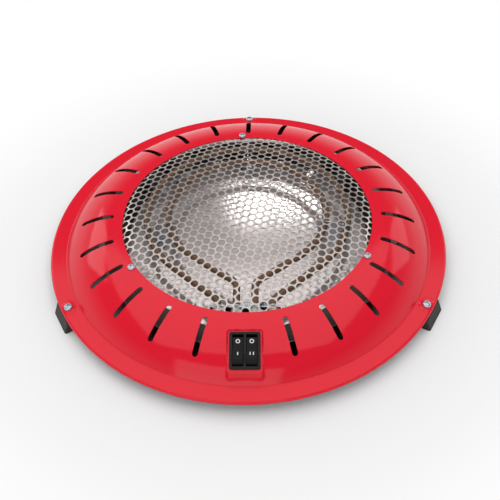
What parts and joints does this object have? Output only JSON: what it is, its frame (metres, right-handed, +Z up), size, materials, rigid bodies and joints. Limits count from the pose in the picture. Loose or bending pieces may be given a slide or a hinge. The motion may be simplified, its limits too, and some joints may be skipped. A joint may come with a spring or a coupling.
{
  "type": "electric brazier",
  "caption": "Round low electric floor heater: red slotted steel cover, domed perforated guard grille, two tubular elements over a reflector, double rocker switch, three feet.",
  "frame": {"origin": "on the floor, under the middle of the box round the whole heater", "axes": "+Z up, -Y towards the switch"},
  "size_m": [0.38, 0.385, 0.0487],
  "materials": {
    "red_enamel": "gloss",
    "plated_mesh": "satin",
    "bright_aluminium": "polished",
    "galvanised_steel": "satin",
    "oxidised_steel": "satin",
    "white_ceramic": "satin",
    "dark_plastic": "matte",
    "black_plastic": "gloss",
    "cutout_steel": "satin",
    "brass_blades": "satin",
    "zinc_steel": "satin"
  },
  "bodies": {
    "heater": {"block_screw": "zinc_steel", "bottom_pan": "galvanised_steel", "bracket_nut": "zinc_steel", "bracket_screw": "zinc_steel", "cord_gland": "dark_plastic", "dish_spacers": "zinc_steel", "earth_stud": "zinc_steel", "element_bushes": "white_ceramic", "element_support_back": "zinc_steel", "element_support_left": "zinc_steel", "element_support_right": "zinc_steel", "element_terminals": "zinc_steel", "flange_nuts": "zinc_steel", "flange_screws": "zinc_steel", "foot_back": "dark_plastic", "foot_left": "dark_plastic", "foot_right": "dark_plastic", "grille_nuts": "zinc_steel", "grille_screws": "zinc_steel", "guard_grille": "plated_mesh", "heating_element_inner": "oxidised_steel", "heating_element_outer": "oxidised_steel", "reflector_dish": "bright_aluminium", "spacer_nuts": "zinc_steel", "spacer_screws": "zinc_steel", "support_rivets": "zinc_steel", "switch_housing": "dark_plastic", "switch_tabs": "brass_blades", "terminal_block": "white_ceramic", "terminal_bracket": "zinc_steel", "thermal_cutout": "cutout_steel", "top_cover": "red_enamel"},
    "rocker_left": {"rocker_left": "black_plastic"},
    "rocker_right": {"rocker_right": "black_plastic"}
  },
  "joints": [
    {"name": "left_rocker_tilt", "type": "hinge", "parent": "heater", "child": "rocker_left", "pos_m": [-0.0057, -0.15316, 0.02902], "axis": [1, 0, 0], "range_deg": [0, 22]},
    {"name": "right_rocker_tilt", "type": "hinge", "parent": "heater", "child": "rocker_right", "pos_m": [0.0057, -0.15316, 0.02902], "axis": [1, 0, 0], "range_deg": [0, 22]}
  ]
}
